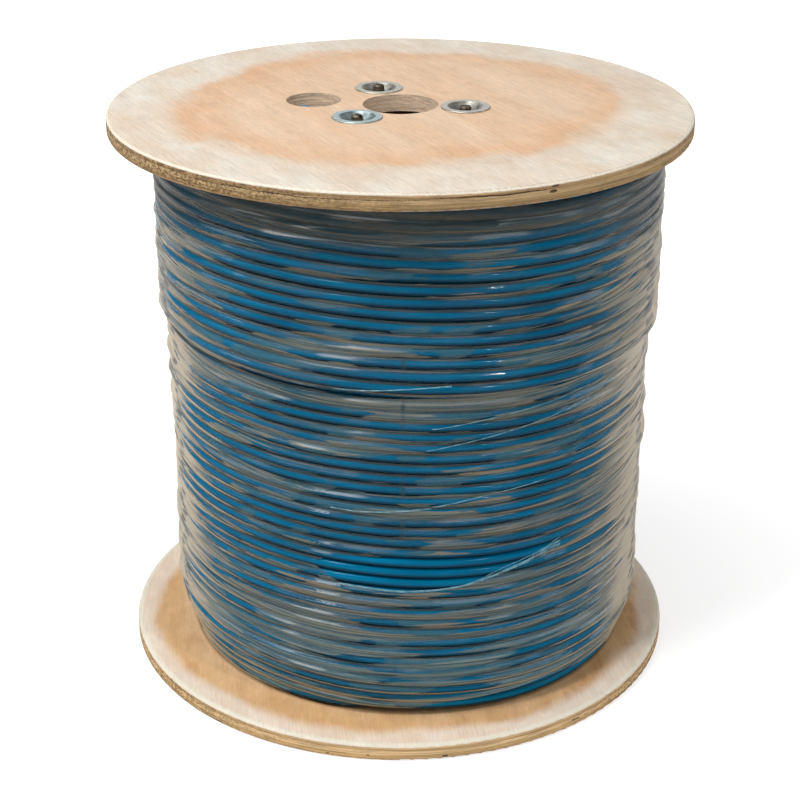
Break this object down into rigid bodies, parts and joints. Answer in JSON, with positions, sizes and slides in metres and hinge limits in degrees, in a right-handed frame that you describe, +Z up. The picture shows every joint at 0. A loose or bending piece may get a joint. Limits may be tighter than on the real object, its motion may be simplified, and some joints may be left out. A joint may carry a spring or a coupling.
{
  "type": "cable drum",
  "caption": "Plywood cable drum with a hard-paper core, tie rods and plate nuts, wound full of data cable under clear stretch film.",
  "frame": {"origin": "centre of the arbor hole at the bottom flange's outer face, which the drum stands on", "axes": "+Z up along the drum's axis, +X towards the side where the winding stands out most, +Y away from the side where the turns cross over"},
  "size_m": [0.4, 0.4, 0.4028],
  "materials": {
    "plywood": "matte",
    "hard_paper": "matte",
    "rod_steel": "satin",
    "zinc_plate": "satin",
    "cable_jacket": "satin",
    "stretch_film": "gloss"
  },
  "bodies": {
    "root": {"bottom_flange": "plywood", "top_flange": "plywood", "core_tube": "hard_paper", "tie_rod_1": "rod_steel", "tie_rod_2": "rod_steel", "tie_rod_3": "rod_steel", "top_nut_1": "zinc_plate", "top_nut_2": "zinc_plate", "top_nut_3": "zinc_plate", "bottom_nut_1": "zinc_plate", "bottom_nut_2": "zinc_plate", "bottom_nut_3": "zinc_plate", "cable_inner_layers": "cable_jacket", "cable_upper_layer": "cable_jacket", "cable_bottom_turns": "cable_jacket", "cable_inner_end": "cable_jacket", "film_wrap": "stretch_film"}
  },
  "joints": []
}
